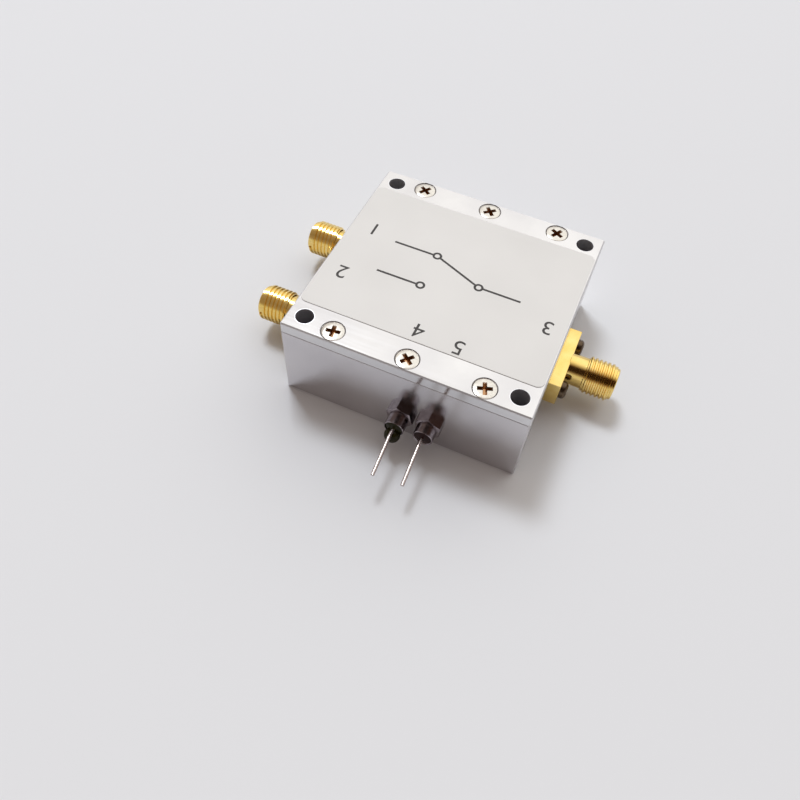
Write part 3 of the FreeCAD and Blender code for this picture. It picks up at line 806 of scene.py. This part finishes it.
def printed_number(text, x, y):
    """A plain number that reads from the back of the case, as the print on the real label does."""
    bpy.ops.object.text_add(location=(x * MM, y * MM, ink_bottom * MM), rotation=(0, 0, math.pi))
    piece = bpy.context.object
    piece.data.body = text
    piece.data.size = digit_size * MM
    piece.data.align_x = "CENTER"
    piece.data.align_y = "CENTER"
    bpy.ops.object.convert(target="MESH")
    apply_place(piece)
    edit(piece, "VERT", lambda spot: True)
    bpy.ops.mesh.remove_doubles(threshold=same_point * MM)
    bpy.ops.object.mode_set(mode="OBJECT")
    return thickened(piece)


def printed_line(start, end):
    """A straight stroke of ink from one place to another."""
    run = Vector(end) - Vector(start)
    middle = (Vector(end) + Vector(start)) / 2
    bpy.ops.mesh.primitive_plane_add(size=1, location=(middle.x * MM, middle.y * MM, ink_bottom * MM))
    piece = bpy.context.object
    piece.scale = (run.length * MM, line_width * MM, 1)
    piece.rotation_euler.z = math.atan2(run.y, run.x)
    apply_place(piece)
    return thickened(piece)


def printed_ring(x, y):
    """A ring of ink: a disc is inset and its middle taken out."""
    bpy.ops.mesh.primitive_circle_add(vertices=contact_ring_sides, radius=contact_ring_radius * MM,
                                      fill_type="NGON", location=(x * MM, y * MM, ink_bottom * MM))
    piece = bpy.context.object
    apply_place(piece)
    edit(piece, "FACE", lambda spot: True)
    bpy.ops.mesh.inset(thickness=line_width * MM)
    bpy.ops.mesh.delete(type="FACE")
    bpy.ops.object.mode_set(mode="OBJECT")
    return thickened(piece)


# Polyester film with a matt coat: warm pale grey, quite dull, with a very fine grain and faint clouds.
film_colours = ("#E3E1DD", "#DEDCD8")
film_roughness = 0.62
film_grain = 0.25
film_grain_depth = 0.01
film_cloud = 12.0


def matt_film():
    material, tree, shader = start_material("matt_polyester_film", film_colours[0], 0.0, film_roughness)
    place = add_node(tree, "ShaderNodeTexCoord", {}, {})
    grain = add_node(tree, "ShaderNodeTexNoise", {"Scale": 1 / (film_grain * MM), "Detail": 3.0},
                     {"Vector": (place, "Object")})
    cloud = add_node(tree, "ShaderNodeTexNoise", {"Scale": 1 / (film_cloud * MM), "Detail": 2.0},
                     {"Vector": (place, "Object")})
    tone = two_toned(tree, cloud, noise_span, film_colours)
    relief = add_node(tree, "ShaderNodeBump", {"Strength": 0.15, "Distance": film_grain_depth * MM},
                      {"Height": (grain, "Fac")})
    link_inputs(tree, shader, {"Base Color": (tone, "Result"), "Normal": (relief, "Normal")})
    return material


dress("label", matt_film())
ink = [printed_number(text, x, y) for text, (x, y) in number_places.items()]
ink += [printed_ring(x, y) for x, y in (pole,) + throws]
ink.append(printed_line((pole[0] + contact_ring_radius, pole[1]), (line_reach, pole[1])))
for x, y in throws:
    ink.append(printed_line((x - contact_ring_radius, y), (-line_reach, y)))
arm = Vector(throws[0]) - Vector(pole)
arm_gap = arm.normalized() * contact_ring_radius
ink.append(printed_line(Vector(pole) + arm_gap, Vector(throws[0]) - arm_gap))
label_print = gathered(ink)
label_print.name = "label_print"
# Thermal-transfer ink: dark warm grey and dull, slightly uneven where the ribbon pressed less.
grey_ink = mottled("transferred_grey_ink", ("#312D2B", "#3C3835"),
                   grain=0.15, relief_depth=0.002, metallic=0.0, roughness=(0.6, 0.7))
finished(label_print, grey_ink)
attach(label_print, "root")

# Floor and light
# A pale smooth sheet lies under the object. A soft lamp shines down from behind on the left, clear of the
# place that the lid mirrors to the camera. The room is bright and white behind, and dim and brown in front.
floor_width = 3.0
floor_colour = "#E3E4E6"
floor_roughness = 0.8
floor_shine = 0.1
bpy.ops.mesh.primitive_plane_add(size=floor_width, location=(0, 0, 0))
floor = bpy.context.object
floor.name = "floor"
floor_material, _, floor_shader = start_material("pale_sheet", floor_colour, 0.0, floor_roughness)
floor_shader.inputs["Specular IOR Level"].default_value = floor_shine
floor.data.materials.append(floor_material)

key_direction = Vector((-0.33, 0.33, 0.88))
key_distance = 2.0
key_size = 0.49
key_power = 19.3
key_colour = "#EFF6FF"
bpy.ops.object.light_add(type="AREA", location=key_direction.normalized() * key_distance)
key = bpy.context.object
key.data.shape = "SQUARE"
key.data.size = key_size
key.data.energy = key_power
key.data.color = linear(key_colour)[:3]
key.rotation_euler = key_direction.to_track_quat("Z", "Y").to_euler()

# The room is painted in layers over a dim front. Each layer has a direction, the cosines of the angles from
# it at which the layer starts and is full, and a colour. The right is darker, the place round the camera is
# darkest, and towards the horizon all of it takes the colour of the sheet.
dim_front = "#A6978D"
right = (1, 0, 0)
right_brown = "#64493B"
camera_side = (0.05, -0.63, 0.77)
camera_brown = "#33241B"
bright_wall = (0.12, 0.66, 0.74)
wall_strength = 1.36
wall_white = [wall_strength * part for part in linear("#FFFDF9")[:3]] + [1.0]
upward = (0, 0, 1)
room_layers = [(right, -0.5, 0.6, linear(right_brown)),
               (camera_side, 0.88, 0.97, linear(camera_brown)),
               (bright_wall, 0.5, 1.0, wall_white),
               (upward, 0.45, 0.1, linear(floor_colour))]
world = bpy.data.worlds.new("room")
bpy.context.scene.world = world
world.use_nodes = True
room = world.node_tree
view = add_node(room, "ShaderNodeTexCoord", {}, {})
front = add_node(room, "ShaderNodeRGB", {}, {})
front.outputs["Color"].default_value = linear(dim_front)
painted = (front, "Color")
for direction, start, full, colour in room_layers:
    toward = add_node(room, "ShaderNodeVectorMath", {"operation": "DOT_PRODUCT"},
                      {"Vector": (view, "Generated")})
    toward.inputs[1].default_value = direction
    share = add_node(room, "ShaderNodeMapRange",
                     {"interpolation_type": "SMOOTHSTEP", "From Min": start, "From Max": full},
                     {"Value": (toward, "Value")})
    layer = add_node(room, "ShaderNodeMix", {"data_type": "RGBA", "B": colour},
                     {"Factor": (share, "Result"), "A": painted})
    painted = (layer, "Result")
link_inputs(room, room.nodes["Background"], {"Color": painted})
